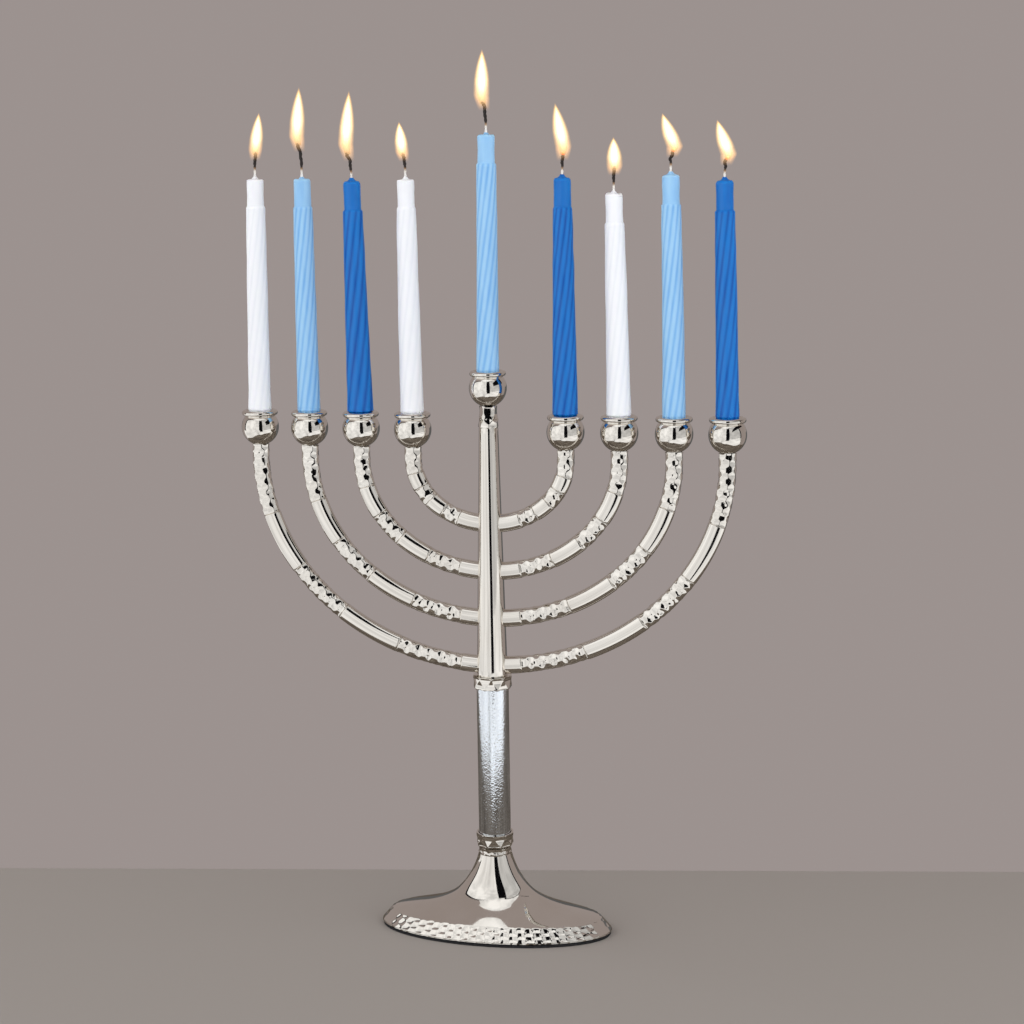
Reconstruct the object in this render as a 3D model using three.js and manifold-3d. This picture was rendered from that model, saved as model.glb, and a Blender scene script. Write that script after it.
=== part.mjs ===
// A nine-light menorah: an oval trumpet base, a tube stem between two faceted collars,
// a tapered column with four pairs of curved arms, nine ball cups and nine lit candles.
// Millimetres, +Z up, origin on the resting plane under the middle of the base.
import * as THREE from 'three';
import { mergeVertices } from 'three/addons/utils/BufferGeometryUtils.js';
import Module from 'manifold-3d';

const wasm = await Module();
wasm.setup();

// Clearance left between pieces that touch.
const GAP = 0.3;

// Base: an oval rim, a sloping band inside it, and a trumpet that ends in a round neck.
const RIM_HALF = { x: 46.4, y: 22 };
const BAND_INSET = 4;
const BAND_TOP_Z = 6.6;
const RIM_EDGE_Z = 2;
const PAD_THICKNESS = 1;
const PAD_INSET = 0.4;
const NECK_RADIUS = 6.4;
const NECK_TOP_Z = 34.2;
const WASHER_SEAT_Z = 22;

// Stem: a tube clamped between two collars by one rod.
const TUBE_RADIUS = 6.25;
const TUBE_WALL = 1;
const TUBE_BOTTOM_Z = 36.8;
const TUBE_TOP_Z = 101.2;
const LOWER_COLLAR = { bottom: 34.5, top: 39.8, radius: 7.4 };
const UPPER_COLLAR = { bottom: 98.4, top: 103.4, radius: 7.6 };
const ROD_RADIUS = 2;
const ROD_BOTTOM_Z = 15.5;
const ROD_TOP_Z = 117;

// Column: tapered, with a ring and a neck under the middle cup.
const COLUMN_BOTTOM_Z = 103.7;
const COLUMN_BOTTOM_RADIUS = 5.95;
const COLUMN_TAPER_TOP_Z = 200.2;
const COLUMN_TOP_RADIUS = 3.7;
const COLUMN_NECK_RADIUS = 3.35;
const COLUMN_RING_TOP_Z = 204.4;

// Arms: quarter ellipses from the column out to each cup, innermost pair first.
const ARM_RADIUS = 3.45;
const ARM_REACH = [29.9, 50.5, 71.3, 91.4];
const ARM_ROOT_TOP_Z = 163.2;
const ARM_ROOT_STEP = 18.6;
const ARM_CENTRE_Z = 188;
const SPIGOT_RADIUS = 1.6;
const SPIGOT_DEPTH = 2.2;

// Cups: balls with a rolled lip, a bore for the candle and a screw in the floor.
const CUP_Z = 199.2;
const SHAMASH_CUP_Z = 215.6;
const BALL_RADIUS = 7.2;
const CUP_BOTTOM = -6.4;
const CUP_SEAT_RADIUS = 3.2;
const CUP_FLOOR = -3;
const CUP_BORE_RADIUS = 4.9;
const LIP_MIDDLE = 4.9;
const LIP_ROLL = 0.9;
const LIP_RADIUS = 6.95;
const SCREW_RADIUS = 1.5;
const SCREW_HEAD_RADIUS = 2.6;
const SCREW_HEAD_HEIGHT = 1.3;
const SCREW_LENGTH = 10.5;
const SCREW_BORE_DEPTH = 8;
const SLOT_WIDTH = 0.8;
const SLOT_DEPTH = 0.6;

// Candles: a straight foot in the cup, a tapered body and a thinner plain tip.
const FOOT_RADIUS = 4.3;
const TIP_RADIUS = 3.2;
const TIP_LENGTH = 11;
const SHOULDER_RADIUS = 3.7;
const WICK_RADIUS = 0.6;
const WICK_HOLE_RADIUS = 0.95;

// One row for each candle: colour, radius just above the lip, top height above the cup's
// middle, lean of the whole candle in degrees, wick length past the wax and its curl.
const CANDLES = {
  left_4: { wax: 'white', radius: 4.4, top: 95.6, lean: 0.8, wick: 10.1, curl: 0.4 },
  left_3: { wax: 'light_blue', radius: 4.4, top: 95.4, lean: 0, wick: 13.4, curl: -1.6 },
  left_2: { wax: 'dark_blue', radius: 5.1, top: 94.1, lean: -0.7, wick: 11, curl: -1.8 },
  left_1: { wax: 'white', radius: 4.5, top: 95.1, lean: -0.4, wick: 9.8, curl: -1 },
  shamash: { wax: 'light_blue', radius: 4.3, top: 94.8, lean: 0.5, wick: 12, curl: -1.6 },
  right_1: { wax: 'dark_blue', radius: 4.85, top: 94.8, lean: -0.2, wick: 9.8, curl: 0.6 },
  right_2: { wax: 'white', radius: 4.65, top: 89, lean: -1, wick: 10.2, curl: 0.5 },
  right_3: { wax: 'light_blue', radius: 4.35, top: 95.8, lean: -0.7, wick: 9.7, curl: 1.6 },
  right_4: { wax: 'dark_blue', radius: 4.4, top: 93.4, lean: -0.9, wick: 9, curl: 1.6 },
};

const ROUND = 32;
const SMALL_ROUND = 12;

const nickel = { color: 0xd8d4cc, roughness: 0.12, metalness: 1 };
const steel = { color: 0xc4cad2, roughness: 0.2, metalness: 1 };
const zincPlated = { color: 0xa8a8a4, roughness: 0.4, metalness: 1 };
const foam = { color: 0x17171a, roughness: 0.95, metalness: 0 };
const cotton = { color: 0x241d18, roughness: 0.95, metalness: 0 };
const wax = {
  white: { color: 0xe9ebf0, roughness: 0.4, metalness: 0 },
  light_blue: { color: 0x8dbde8, roughness: 0.4, metalness: 0 },
  dark_blue: { color: 0x1d5fb5, roughness: 0.4, metalness: 0 },
};

const menorah = new THREE.Group();

function addPart(parent, name, geometry, finish) {
  const mesh = new THREE.Mesh(geometry, new THREE.MeshStandardMaterial(finish));
  mesh.name = name;
  parent.add(mesh);
  return mesh;
}

// Turns a closed profile of [radius, height] points about the Z axis.
function turned(profile, segments = ROUND) {
  const points = profile.map(([radius, height]) => new THREE.Vector2(radius, height));
  return new THREE.LatheGeometry(points, segments).rotateX(Math.PI / 2);
}

function ring(inner, outer, bottom, top, segments = ROUND) {
  return turned([[inner, bottom], [outer, bottom], [outer, top], [inner, top], [inner, bottom]], segments);
}

function rod(radius, bottom, top, segments = SMALL_ROUND) {
  return turned([[0, bottom], [radius, bottom], [radius, top], [0, top]], segments);
}

function toSolid(geometry) {
  const bare = geometry.clone();
  bare.deleteAttribute('normal');
  bare.deleteAttribute('uv');
  const merged = mergeVertices(bare, 1e-4);
  const mesh = new wasm.Mesh({
    numProp: 3,
    vertProperties: new Float32Array(merged.attributes.position.array),
    triVerts: new Uint32Array(merged.index.array),
  });
  return new wasm.Manifold(mesh);
}

function toGeometry(solid) {
  const mesh = solid.getMesh();
  const geometry = new THREE.BufferGeometry();
  geometry.setAttribute('position', new THREE.BufferAttribute(mesh.vertProperties, 3));
  geometry.setIndex(new THREE.BufferAttribute(mesh.triVerts, 1));
  geometry.computeVertexNormals();
  return geometry;
}

// Points of an arc about (radius, height), from one angle to another in degrees.
function arc(radius, height, size, from, to, steps) {
  const points = [];
  for (let i = 0; i <= steps; i++) {
    const angle = THREE.MathUtils.degToRad(from + ((to - from) * i) / steps);
    points.push([radius + size * Math.cos(angle), height + size * Math.sin(angle)]);
  }
  return points;
}

// Half depth of the oval that is half as wide as given: round at the neck, oval at the rim.
function ovalDepth(halfWidth) {
  const bandTop = { x: RIM_HALF.x - BAND_INSET, y: RIM_HALF.y - BAND_INSET };
  if (halfWidth <= NECK_RADIUS) return halfWidth;
  if (halfWidth >= bandTop.x) return halfWidth - bandTop.x + bandTop.y;
  const t = (halfWidth - NECK_RADIUS) / (bandTop.x - NECK_RADIUS);
  return THREE.MathUtils.lerp(NECK_RADIUS, bandTop.y, 1 - (1 - t) ** 1.25);
}

// Turns a profile, then squeezes its circles into the base's ovals.
function oval(profile, segments) {
  const geometry = turned(profile, segments);
  const position = geometry.attributes.position;
  for (let i = 0; i < position.count; i++) {
    const x = position.getX(i);
    const y = position.getY(i);
    const radius = Math.hypot(x, y);
    if (radius > 0) position.setY(i, (y * ovalDepth(radius)) / radius);
  }
  geometry.computeVertexNormals();
  return geometry;
}

function baseShell() {
  const hole = ROD_RADIUS + GAP;
  const bandTop = RIM_HALF.x - BAND_INSET;
  const bottom = PAD_THICKNESS + GAP;
  const outside = new THREE.CatmullRomCurve3([
    new THREE.Vector3(bandTop, 0, BAND_TOP_Z),
    new THREE.Vector3(28, 0, 9.6),
    new THREE.Vector3(19, 0, 13.2),
    new THREE.Vector3(13.6, 0, 17.6),
    new THREE.Vector3(9.8, 0, 23),
    new THREE.Vector3(7.6, 0, 27.8),
    new THREE.Vector3(NECK_RADIUS, 0, 31.6),
  ]).getPoints(9).map((p) => [p.x, p.z]);
  const inside = [[7.4, WASHER_SEAT_Z], [11.2, 16], [17, 10.6], [26, 7.6], [bandTop - 1, 4.6]];
  return oval([
    [hole, WASHER_SEAT_Z],
    ...inside,
    [RIM_HALF.x - 2, bottom],
    [RIM_HALF.x, bottom],
    [RIM_HALF.x, RIM_EDGE_Z],
    ...outside,
    [NECK_RADIUS, NECK_TOP_Z],
    [hole, NECK_TOP_Z],
    [hole, WASHER_SEAT_Z],
  ], 32);
}

function buildBase() {
  const halfPad = RIM_HALF.x - PAD_INSET;
  const pad = oval([[0, 0], [halfPad, 0], [halfPad, PAD_THICKNESS], [0, PAD_THICKNESS]], 32);
  addPart(menorah, 'base', baseShell(), nickel);
  addPart(menorah, 'base_pad', pad, foam);
}

function hexNut(acrossCorners, holeRadius, height) {
  const outline = new THREE.Shape(new THREE.Path().absarc(0, 0, acrossCorners / 2, 0, 2 * Math.PI).getPoints(3));
  outline.holes.push(new THREE.Path().absarc(0, 0, holeRadius, 0, 2 * Math.PI, true));
  return new THREE.ExtrudeGeometry(outline, { depth: height, bevelEnabled: false, curveSegments: 6 });
}

function buildClamp() {
  const washerTop = WASHER_SEAT_Z - GAP;
  const washerBottom = washerTop - 1;
  const nutHeight = 3.2;
  addPart(menorah, 'tie_rod', rod(ROD_RADIUS, ROD_BOTTOM_Z, ROD_TOP_Z), zincPlated);
  addPart(menorah, 'base_washer', ring(ROD_RADIUS + GAP, 5, washerBottom, washerTop, 20), zincPlated);
  const nut = addPart(menorah, 'base_nut', hexNut(8, ROD_RADIUS + GAP, nutHeight), zincPlated);
  nut.position.z = washerBottom - GAP - nutHeight;
}

// A collar's outside: a bevel, a full middle and a bevel.
function collarSide({ bottom, top, radius }) {
  const bevel = 1.1;
  return [
    [radius - bevel, bottom],
    [radius, bottom + bevel],
    [radius, top - bevel],
    [radius - bevel, top],
  ];
}

function buildStem() {
  const hole = ROD_RADIUS + GAP;
  const socket = TUBE_RADIUS + GAP - 0.05;
  const lower = LOWER_COLLAR;
  const lowerSide = collarSide(lower);
  lowerSide[3][0] = socket + 0.4;
  const lowerProfile = [
    [hole, lower.bottom],
    ...lowerSide,
    [socket, lower.top],
    [socket, TUBE_BOTTOM_Z - GAP],
    [hole, TUBE_BOTTOM_Z - GAP],
    [hole, lower.bottom],
  ];
  const upper = UPPER_COLLAR;
  const upperSide = collarSide(upper);
  upperSide[0][0] = socket + 0.4;
  const upperProfile = [
    [socket, upper.bottom],
    ...upperSide,
    [hole, upper.top],
    [hole, TUBE_TOP_Z + GAP],
    [socket, TUBE_TOP_Z + GAP],
    [socket, upper.bottom],
  ];
  addPart(menorah, 'lower_collar', turned(lowerProfile, 24), nickel);
  addPart(menorah, 'stem_tube', ring(TUBE_RADIUS - TUBE_WALL, TUBE_RADIUS, TUBE_BOTTOM_Z, TUBE_TOP_Z), steel);
  addPart(menorah, 'upper_collar', turned(upperProfile, 24), nickel);
}

const columnTop = SHAMASH_CUP_Z + CUP_BOTTOM - GAP;
const armTop = CUP_Z + CUP_BOTTOM - GAP;
const armRoot = (pair) => ARM_ROOT_TOP_Z - pair * ARM_ROOT_STEP;

// The column's outside, made larger by a margin.
function columnShape(margin) {
  return toSolid(turned([
    [0, COLUMN_BOTTOM_Z - margin],
    [COLUMN_BOTTOM_RADIUS + margin, COLUMN_BOTTOM_Z - margin],
    [COLUMN_TOP_RADIUS + margin, COLUMN_TAPER_TOP_Z],
    [COLUMN_TOP_RADIUS + margin, COLUMN_RING_TOP_Z],
    [COLUMN_NECK_RADIUS + margin, COLUMN_RING_TOP_Z + 0.4],
    [COLUMN_NECK_RADIUS + margin, columnTop],
    [0, columnTop],
  ], 24));
}

function columnRadiusAt(z) {
  const t = (z - COLUMN_BOTTOM_Z) / (COLUMN_TAPER_TOP_Z - COLUMN_BOTTOM_Z);
  return THREE.MathUtils.lerp(COLUMN_BOTTOM_RADIUS, COLUMN_TOP_RADIUS, t);
}

// A rod along +X from one distance to another, at a height.
function crossRod(radius, from, to, z) {
  return toSolid(rod(radius, from, to, 8).rotateY(Math.PI / 2).translate(0, 0, z));
}

function buildColumn() {
  const rodBore = toSolid(rod(ROD_RADIUS + GAP, COLUMN_BOTTOM_Z - 1, ROD_TOP_Z + GAP));
  const screwBore = toSolid(rod(SCREW_RADIUS + GAP, columnTop - SCREW_BORE_DEPTH, columnTop + 1));
  let column = columnShape(0).subtract(rodBore).subtract(screwBore);
  for (let pair = 0; pair < ARM_REACH.length; pair++) {
    const z = armRoot(pair);
    const floor = columnRadiusAt(z) - SPIGOT_DEPTH - GAP;
    for (const side of [-1, 1]) {
      const [from, to] = side > 0 ? [floor, 12] : [-12, -floor];
      column = column.subtract(crossRod(SPIGOT_RADIUS + GAP, from, to, z));
    }
  }
  addPart(menorah, 'column', toGeometry(column), nickel);
}

// The middle line of a right-hand arm: along a quarter ellipse, then straight up to its cup.
class ArmPath extends THREE.Curve {
  constructor(pair) {
    super();
    this.reach = ARM_REACH[pair];
    this.drop = ARM_CENTRE_Z - armRoot(pair);
    this.straight = (armTop - ARM_CENTRE_Z) / (this.reach * 1.5);
  }

  getPoint(t) {
    const bend = 1 - this.straight;
    const start = 0.9 / this.reach;
    if (t > bend) {
      const rise = (t - bend) / this.straight;
      return new THREE.Vector3(this.reach, 0, THREE.MathUtils.lerp(ARM_CENTRE_Z, armTop, rise));
    }
    const angle = THREE.MathUtils.lerp(start, Math.PI / 2, t / bend);
    return new THREE.Vector3(this.reach * Math.sin(angle), 0, ARM_CENTRE_Z - this.drop * Math.cos(angle));
  }
}

// A right-hand arm: a bent rod coped to the column, with a spigot and a screw bore.
function armSolid(pair) {
  const section = new THREE.Shape(new THREE.Path().absarc(0, 0, ARM_RADIUS, 0, 2 * Math.PI).getPoints(5));
  const bent = new THREE.ExtrudeGeometry(section, {
    extrudePath: new ArmPath(pair),
    steps: 10 + 2 * pair,
    bevelEnabled: false,
  });
  const z = armRoot(pair);
  const face = columnRadiusAt(z);
  const spigot = crossRod(SPIGOT_RADIUS, face - SPIGOT_DEPTH, face + 2.5, z);
  const bore = rod(SCREW_RADIUS + GAP, armTop - SCREW_BORE_DEPTH, armTop + 1, 8);
  const screwBore = toSolid(bore.translate(ARM_REACH[pair], 0, 0));
  return toSolid(bent).subtract(columnShape(GAP)).add(spigot).subtract(screwBore);
}

function buildArms() {
  for (let pair = 0; pair < ARM_REACH.length; pair++) {
    const right = armSolid(pair);
    const left = right.rotate([0, 0, 180]);
    addPart(menorah, `arm_left_${pair + 1}`, toGeometry(left), nickel);
    addPart(menorah, `arm_right_${pair + 1}`, toGeometry(right), nickel);
  }
}

// A cup about its ball's middle: bored from above, with a screw hole in the floor.
function cupShape() {
  const hole = SCREW_RADIUS + GAP;
  const start = THREE.MathUtils.radToDeg(Math.acos(CUP_SEAT_RADIUS / BALL_RADIUS));
  const lipCentre = LIP_RADIUS - LIP_ROLL;
  return turned([
    [hole, CUP_BOTTOM],
    ...arc(0, 0, BALL_RADIUS, -start, 32, 6),
    ...arc(lipCentre, LIP_MIDDLE, LIP_ROLL, -40, 90, 3),
    [CUP_BORE_RADIUS + 0.3, LIP_MIDDLE + LIP_ROLL - 0.1],
    [CUP_BORE_RADIUS, LIP_MIDDLE + 0.3],
    [CUP_BORE_RADIUS, CUP_FLOOR],
    [hole, CUP_FLOOR],
    [hole, CUP_BOTTOM],
  ], 16);
}

function screwShape() {
  const seat = CUP_FLOOR + GAP;
  const top = seat + SCREW_HEAD_HEIGHT;
  const blank = toSolid(turned([
    [0, seat - SCREW_LENGTH],
    [SCREW_RADIUS, seat - SCREW_LENGTH],
    [SCREW_RADIUS, seat],
    [SCREW_HEAD_RADIUS, seat],
    [SCREW_HEAD_RADIUS, top],
    [0, top],
  ], 8));
  const slot = new THREE.BoxGeometry(4 * SCREW_HEAD_RADIUS, SLOT_WIDTH, 2 * SLOT_DEPTH).translate(0, 0, top);
  return toGeometry(blank.subtract(toSolid(slot)));
}

function candleShape({ radius, top }) {
  const foot = CUP_FLOOR + GAP + SCREW_HEAD_HEIGHT + GAP;
  const lipTop = LIP_MIDDLE + LIP_ROLL + GAP;
  return turned([
    [WICK_HOLE_RADIUS, foot],
    [FOOT_RADIUS, foot],
    [FOOT_RADIUS, lipTop],
    [radius, lipTop],
    [SHOULDER_RADIUS, top - TIP_LENGTH],
    [TIP_RADIUS, top - TIP_LENGTH + 0.8],
    [TIP_RADIUS - 0.1, top - 0.7],
    [TIP_RADIUS - 0.8, top],
    [WICK_HOLE_RADIUS, top],
    [WICK_HOLE_RADIUS, foot],
  ], 12);
}

// A wick: straight inside the wax, then curling over where it burns.
function wickShape({ top, wick, curl }) {
  const foot = CUP_FLOOR + 2 * GAP + SCREW_HEAD_HEIGHT;
  const straight = toSolid(rod(WICK_RADIUS, foot, top + 1, 6));
  const section = new THREE.Shape(new THREE.Path().absarc(0, 0, WICK_RADIUS, 0, 2 * Math.PI).getPoints(3));
  const path = new THREE.QuadraticBezierCurve3(
    new THREE.Vector3(0, 0, top),
    new THREE.Vector3(0, 0, top + 0.7 * wick),
    new THREE.Vector3(curl, 0, top + wick),
  );
  const burnt = new THREE.ExtrudeGeometry(section, { extrudePath: path, steps: 4, bevelEnabled: false });
  return toGeometry(straight.add(toSolid(burnt)));
}

function buildLight(place, x, z) {
  const candle = CANDLES[place];
  const cup = addPart(menorah, `cup_${place}`, cupShape(), nickel);
  cup.position.set(x, 0, z);
  const screw = addPart(menorah, `cup_screw_${place}`, screwShape(), zincPlated);
  screw.position.set(x, 0, z);
  const leaning = new THREE.Group();
  leaning.position.set(x, 0, z);
  leaning.rotation.y = THREE.MathUtils.degToRad(candle.lean);
  menorah.add(leaning);
  addPart(leaning, `candle_${place}`, candleShape(candle), wax[candle.wax]);
  addPart(leaning, `wick_${place}`, wickShape(candle), cotton);
}

buildBase();
buildClamp();
buildStem();
buildColumn();
buildArms();
buildLight('shamash', 0, SHAMASH_CUP_Z);
for (let pair = 0; pair < ARM_REACH.length; pair++) {
  buildLight(`left_${pair + 1}`, -ARM_REACH[pair], CUP_Z);
  buildLight(`right_${pair + 1}`, ARM_REACH[pair], CUP_Z);
}

export default menorah;
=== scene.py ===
"""The looks of a nine-light menorah: hammered nickel arms on a tapered column, ball cups,
a speckled tube between two faceted collars, an oval trumpet base and nine lit candles.
Shapes are worked out in millimetres in the frame of the CAD model, then scaled to metres."""

import math
from collections import namedtuple

import bpy
import numpy as np
from mathutils import Matrix, Vector


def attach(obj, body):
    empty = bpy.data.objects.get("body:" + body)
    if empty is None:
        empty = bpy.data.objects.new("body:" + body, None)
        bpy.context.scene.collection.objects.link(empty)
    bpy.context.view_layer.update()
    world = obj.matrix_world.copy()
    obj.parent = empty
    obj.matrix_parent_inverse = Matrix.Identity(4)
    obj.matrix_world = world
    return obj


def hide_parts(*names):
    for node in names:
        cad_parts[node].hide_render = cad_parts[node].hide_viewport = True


MM = 0.001
TURN = 2 * math.pi
# Clearance left between pieces that touch.
GAP = 0.3

# Camera, about the middle of the base.
CAMERA_DISTANCE = 825.9
CAMERA_AZIMUTH = math.radians(13.214)
CAMERA_HEIGHT = 319.15
LOOK_AZIMUTH = math.radians(12.624)
LOOK_DOWN = math.radians(10.401)
CAMERA_ROLL = math.radians(0.817)
CAMERA_LENS = 76.91
SENSOR_WIDTH = 36

# Base: an oval rim, a hammered band and a trumpet that ends in a round neck.
# The trumpet's rows are (half width, half depth, height), from the band up to the neck.
RIM = (46.4, 22.0)
TRUMPET = (
    (42.4, 18.6, 6.6),
    (28.0, 16.0, 9.6),
    (19.0, 12.7, 13.2),
    (13.6, 9.6, 17.6),
    (9.8, 8.1, 23.0),
    (7.6, 7.1, 27.8),
    (6.4, 6.4, 31.6),
)
BAND_TOP = TRUMPET[0]
RIM_EDGE_Z = 2.0
BASE_BOTTOM_Z = 1.3
NECK_RADIUS = 6.4
NECK_TOP_Z = 34.2
ROD_HOLE = 2.3
WASHER_SEAT_Z = 22.0
PAD_HALF = (46.0, 21.6)
PAD_THICKNESS = 1.0
BASE_POINTS_ROUND = 560
# The band's hammer blows: columns round it, rows down it, and each blow's size.
BAND_COLUMNS = 66
BAND_ROWS = 3
BAND_ROW_STEP = 2.95
BAND_STAGGER = 1.48
BAND_BLOW_REACH = 2.0
BAND_BLOW_DEPTH = 0.24

# Stem and column.
TUBE_RADIUS = 6.25
TUBE_BOTTOM_Z = 36.8
TUBE_TOP_Z = 101.2
TUBE_WALL = 1.0
SOCKET_RADIUS = 6.5
# Collars are (bottom, top, radius).
LOWER_COLLAR = (34.5, 39.8, 7.4)
UPPER_COLLAR = (98.4, 103.4, 7.6)
COLLAR_FACETS = 9
FACET_REACH = 2.7
COLUMN_BOTTOM_Z = 103.7
COLUMN_BOTTOM_RADIUS = 5.95
COLUMN_TAPER_TOP_Z = 200.2
COLUMN_TOP_RADIUS = 3.7
COLUMN_RING_TOP_Z = 204.4
COLUMN_NECK_RADIUS = 3.35

# Arms of a flattened section, innermost pair first.
ARM_HALF_WIDTH = 3.45
ARM_HALF_DEPTH = 2.4
ARM_REACH = (29.9, 50.5, 71.3, 91.4)
ARM_ROOT_TOP_Z = 163.2
ARM_ROOT_STEP = 18.6
ARM_CENTRE_Z = 188.0
ARM_START_X = 3.2
FIRST_RING_X = 12.0
RING_LINES = 5
RING_WIDTH = 0.16
RING_DEPTH = 0.24
ARM_STEP = 0.38
ARM_BLOW_SPACING = 2.3
ARM_BLOWS_ROUND = 7
ARM_BLOW_REACH = 1.7
ARM_BLOW_DEPTH = 0.29

# Cups, about the middle of each ball.
CUP_Z = 199.2
SHAMASH_CUP_Z = 215.6
BALL_RADIUS = 7.2
CUP_BOTTOM = -6.4
CUP_SEAT_RADIUS = 3.2
CUP_FLOOR = -3.0
CUP_BORE = 4.9
LIP_MIDDLE = 5.6
LIP_ROLL = 1.0
LIP_CENTRE = 5.95
SCREW_BORE = 1.8

# Candles and wicks.
CANDLE_FOOT = -1.1
FOOT_RADIUS = 4.3
LIP_TOP = 6.9
SHOULDER_RADIUS = 3.7
TIP_RADIUS = 3.2
TIP_LENGTH = 11.0
FLUTE_TWIST = 0.038
FLUTE_DEPTH = {"white": 0.09, "light_blue": 0.13, "dark_blue": 0.13}
# How high the middle and the rim of a melted top stand.
MELTED_MIDDLE = {"flat": 0.0, "rim": 0.0, "cone": 0.9, "dome": 0.6, "lumps": 0.2}
MELTED_RIM = {"flat": 0.05, "rim": 0.35, "cone": 0.3, "dome": 0.1, "lumps": 0.5}
# Wicks whose ends glow.
EMBERS = {"right_1": 0.8, "right_3": 1.0, "right_4": 1.0}

# Flames: nested veils that start below the end of the wick.
FLAME_VEILS = 7
FLAME_START = 3.4
FLAME_WIDEST = 0.34

# One row for each candle: wax, radius above the lip, top above the cup's middle, lean in
# degrees, wick length and curl, how the wax has melted, and the flame's height above the
# wick, its half width and how far its tip leans sideways.
Candle = namedtuple("Candle", "wax radius top lean wick curl melt flame half_flame sway")
CANDLES = {
    "left_4": Candle("white", 4.4, 95.6, 0.8, 10.1, 0.4, "flat", 14.8, 2.7, 1.7),
    "left_3": Candle("light_blue", 4.4, 95.4, 0.0, 13.4, -1.6, "rim", 20.9, 3.0, 1.5),
    "left_2": Candle("dark_blue", 5.1, 94.1, -0.7, 11.0, -1.8, "cone", 23.0, 3.0, 2.1),
    "left_1": Candle("white", 4.5, 95.1, -0.4, 9.8, -1.0, "flat", 11.5, 2.6, -0.9),
    "shamash": Candle("light_blue", 4.3, 94.8, 0.5, 12.0, -1.6, "rim", 19.2, 3.0, 0.3),
    "right_1": Candle("dark_blue", 4.85, 94.8, -0.2, 9.8, 0.6, "cone", 17.9, 3.1, -3.0),
    "right_2": Candle("white", 4.65, 89.0, -1.0, 10.2, 0.5, "lumps", 10.6, 3.0, -0.2),
    "right_3": Candle("light_blue", 4.35, 95.8, -0.7, 9.7, 1.6, "dome", 12.8, 3.1, -4.5),
    "right_4": Candle("dark_blue", 4.4, 93.4, -0.9, 9.0, 1.6, "cone", 13.3, 3.1, -4.1),
}

# Stage: the floor's turn about the column, the height that upright cards start from and the
# height of the sheets overhead.
FLOOR_AZIMUTH = math.radians(9.6)
CARD_FOOT = -300
OVERHEAD = 1150

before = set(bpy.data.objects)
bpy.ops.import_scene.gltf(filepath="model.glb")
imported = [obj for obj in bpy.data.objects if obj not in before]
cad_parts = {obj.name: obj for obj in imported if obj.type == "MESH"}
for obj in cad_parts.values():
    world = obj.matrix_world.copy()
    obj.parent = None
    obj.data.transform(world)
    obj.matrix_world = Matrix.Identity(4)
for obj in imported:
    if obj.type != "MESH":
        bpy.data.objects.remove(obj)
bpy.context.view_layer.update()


def arm_root(pair):
    """The height of an arm's middle line under the column."""
    return ARM_ROOT_TOP_Z - pair * ARM_ROOT_STEP


def cup_place(place):
    """The middle of a cup's ball."""
    if place == "shamash":
        return np.array([0.0, 0.0, SHAMASH_CUP_Z])
    side, pair = place.split("_")
    reach = ARM_REACH[int(pair) - 1]
    return np.array([reach if side == "right" else -reach, 0.0, CUP_Z])


# ---------------------------------------------------------------- meshes


def add_mesh(name, points, faces, material, values=None, crease=55):
    """An object from points in millimetres, smooth but for edges sharper than the crease,
    with any named value at each point."""
    mesh = bpy.data.meshes.new(name)
    mesh.from_pydata((np.asarray(points) * MM).tolist(), [], faces)
    mesh.polygons.foreach_set("use_smooth", [True] * len(mesh.polygons))
    mesh.set_sharp_from_angle(angle=math.radians(crease))
    for key, data in (values or {}).items():
        attribute = mesh.attributes.new(key, "FLOAT", "POINT")
        attribute.data.foreach_set("value", np.asarray(data, np.float32).ravel())
    mesh.materials.append(material)
    mesh.update()
    piece = bpy.data.objects.new(name, mesh)
    bpy.context.scene.collection.objects.link(piece)
    return piece


def skin(name, rows, material, ends=(False, False), values=None, crease=55):
    """A tube-like surface from rows of points, each row one turn round, with its ends
    open or closed to a point in their middle."""
    rows = np.asarray(rows, float)
    count, around = rows.shape[:2]
    points = rows.reshape(-1, 3)
    i, j = np.meshgrid(np.arange(count - 1), np.arange(around), indexing="ij")
    k = (j + 1) % around
    corners = (i * around + j, i * around + k, (i + 1) * around + k, (i + 1) * around + j)
    faces = np.stack(corners, -1).reshape(-1, 4).tolist()
    extra = {key: list(np.asarray(data, float).ravel()) for key, data in (values or {}).items()}
    for end, row in zip(ends, (0, count - 1)):
        if not end:
            continue
        middle = len(points)
        points = np.vstack([points, rows[row].mean(0)])
        for key, data in (values or {}).items():
            extra[key].append(float(np.mean(np.asarray(data)[row])))
        for a in range(around):
            b = (a + 1) % around
            first, second = (b, a) if row == 0 else (a, b)
            faces.append([middle, row * around + first, row * around + second])
    return add_mesh(name, points, faces, material, extra, crease)


def lathe(profile, around=96):
    """Rows of points for a turned profile of (radius, height) pairs."""
    radius, height = np.array(profile, float).T
    angle = np.arange(around) * TURN / around
    x = np.outer(radius, np.cos(angle))
    y = np.outer(radius, np.sin(angle))
    z = np.repeat(height[:, None], around, 1)
    return np.stack([x, y, z], -1)


def arc(radius, height, size, start, end, steps):
    """Points of an arc about (radius, height), between two angles in degrees."""
    angles = np.radians(np.linspace(start, end, steps + 1))
    return [(radius + size * math.cos(a), height + size * math.sin(a)) for a in angles]


def line(start, end, steps):
    """Points from start towards end, without the last."""
    return [tuple(np.array(start) + (np.array(end) - start) * s / steps) for s in range(steps)]


def push(rows, height):
    """Moves each point of the rows out along the surface's normal."""
    along = np.gradient(rows, axis=0)
    around = np.roll(rows, -1, 1) - np.roll(rows, 1, 1)
    normal = np.cross(around, along)
    normal /= np.linalg.norm(normal, axis=-1, keepdims=True) + 1e-12
    return rows + normal * height[..., None]


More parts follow.
